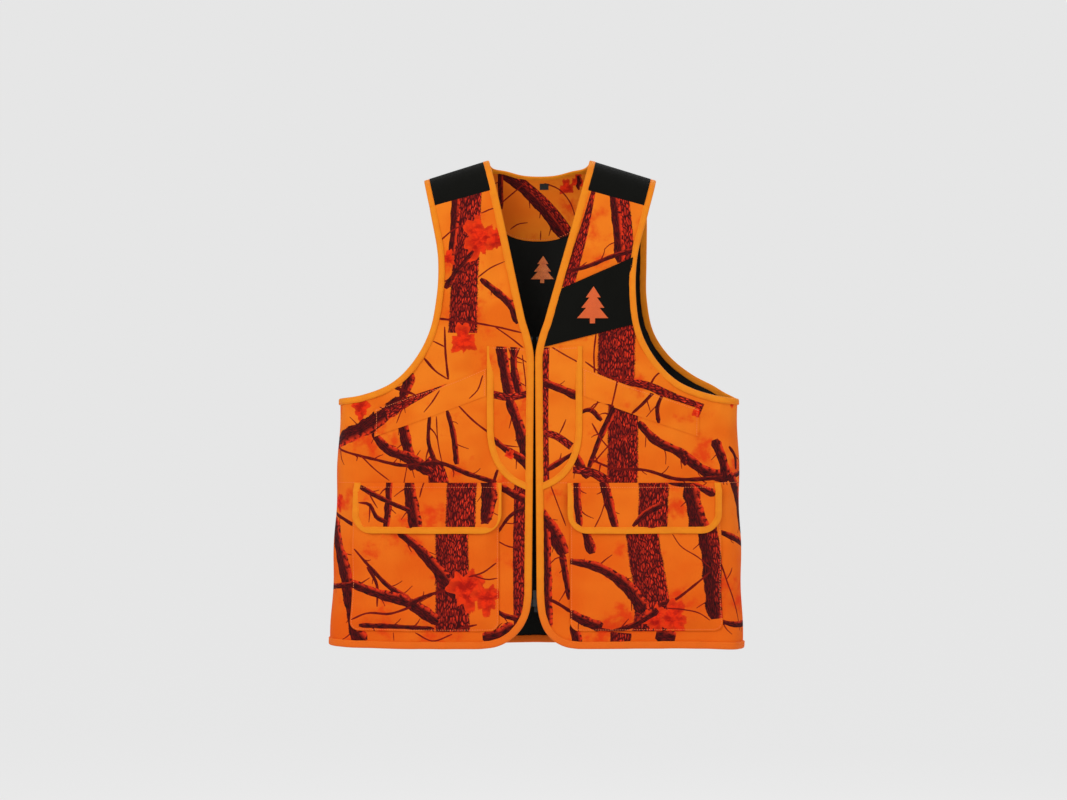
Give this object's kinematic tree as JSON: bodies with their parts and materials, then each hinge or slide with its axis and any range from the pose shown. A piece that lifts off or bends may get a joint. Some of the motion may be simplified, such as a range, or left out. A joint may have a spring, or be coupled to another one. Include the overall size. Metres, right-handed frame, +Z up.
{
  "type": "blaze orange vest",
  "caption": "Sleeveless V-neck field vest with blaze orange printed shell, black yokes, bound edges, front zip, slanted hand pockets and large flapped pockets.",
  "frame": {"origin": "middle of the neck opening, level with the highest points of the shoulders", "axes": "+Z up, the front faces -Y, and the wearer's left is +X"},
  "size_m": [0.6032, 0.1238, 0.7191],
  "materials": {
    "blaze_print": "brushed blaze orange cloth printed with dark red-brown branches and bark",
    "black_shell": "plain black brushed cloth",
    "black_lining": "smooth black lining cloth",
    "orange_binding": "ribbed orange binding tape",
    "label": "woven black satin label, blank",
    "transfer_print": "thin heat-transfer film",
    "embroidery": "satin-stitch thread",
    "hook_and_loop": "napped black fastening tape",
    "zip_tape": "woven black zip tape",
    "zip_coil": "black nylon coil",
    "zip_metal": "black painted zinc"
  },
  "bodies": {
    "back": {"back_panel": "blaze_print", "back_lining": "black_lining", "neck_facing": "blaze_print", "size_label": "label", "lining_emblem": "transfer_print", "back_hem_binding": "orange_binding", "neck_binding": "orange_binding", "yoke_right": "black_shell", "yoke_lining_right": "black_lining", "back_armhole_binding_right": "orange_binding", "yoke_left": "black_shell", "yoke_lining_left": "black_lining", "back_armhole_binding_left": "orange_binding"},
    "front_right": {"front_panel_right": "blaze_print", "front_lining_right": "black_lining", "front_edge_binding_right": "orange_binding", "front_armhole_binding_right": "orange_binding", "chest_patch_right": "blaze_print", "chest_patch_binding_right": "orange_binding", "hand_pocket_welt_right": "blaze_print", "hand_pocket_bag_right": "black_lining", "cargo_pocket_right": "blaze_print", "cargo_loop_tape_right": "hook_and_loop", "zip_tape_right": "zip_tape", "zip_coil_right": "zip_coil", "zip_top_stop_right": "zip_metal", "zip_pin_right": "zip_coil"},
    "front_left": {"front_panel_left": "blaze_print", "front_lining_left": "black_lining", "front_edge_binding_left": "orange_binding", "front_armhole_binding_left": "orange_binding", "chest_patch_left": "blaze_print", "chest_patch_binding_left": "orange_binding", "hand_pocket_welt_left": "blaze_print", "hand_pocket_bag_left": "black_lining", "cargo_pocket_left": "blaze_print", "cargo_loop_tape_left": "hook_and_loop", "zip_tape_left": "zip_tape", "zip_coil_left": "zip_coil", "zip_top_stop_left": "zip_metal", "zip_box_left": "zip_coil", "chest_panel_left": "black_shell", "chest_emblem_left": "embroidery"},
    "pocket_flap_right": {"flap_right": "blaze_print", "flap_binding_right": "orange_binding", "flap_hook_tape_right": "hook_and_loop"},
    "pocket_flap_left": {"flap_left": "blaze_print", "flap_binding_left": "orange_binding", "flap_hook_tape_left": "hook_and_loop"},
    "zip_slider": {"zip_slider": "zip_metal"},
    "zip_pull": {"zip_pull": "zip_metal"}
  },
  "joints": [
    {"name": "front_right_swing", "type": "hinge", "parent": "back", "child": "front_right", "pos_m": [-0.301, 0, -0.419], "axis": [0, 0, -1], "range_deg": [0, 30]},
    {"name": "front_left_swing", "type": "hinge", "parent": "back", "child": "front_left", "pos_m": [0.301, 0, -0.419], "axis": [0, 0, 1], "range_deg": [0, 30]},
    {"name": "flap_right_lift", "type": "hinge", "parent": "front_right", "child": "pocket_flap_right", "pos_m": [-0.159, -0.0566, -0.4766], "axis": [-0.9984, 0.0565, 0], "range_deg": [0, 130]},
    {"name": "flap_left_lift", "type": "hinge", "parent": "front_left", "child": "pocket_flap_left", "pos_m": [0.159, -0.0566, -0.4766], "axis": [-0.9984, -0.0565, 0], "range_deg": [0, 130]},
    {"name": "zip_slide", "type": "slide", "parent": "front_left", "child": "zip_slider", "axis": [0, 0, 1], "range_m": [0, 0.365]},
    {"name": "zip_pull_swing", "type": "hinge", "parent": "zip_slider", "child": "zip_pull", "pos_m": [0.0031, -0.0435, -0.6395], "axis": [1, 0, 0], "range_deg": [0, 170]}
  ]
}
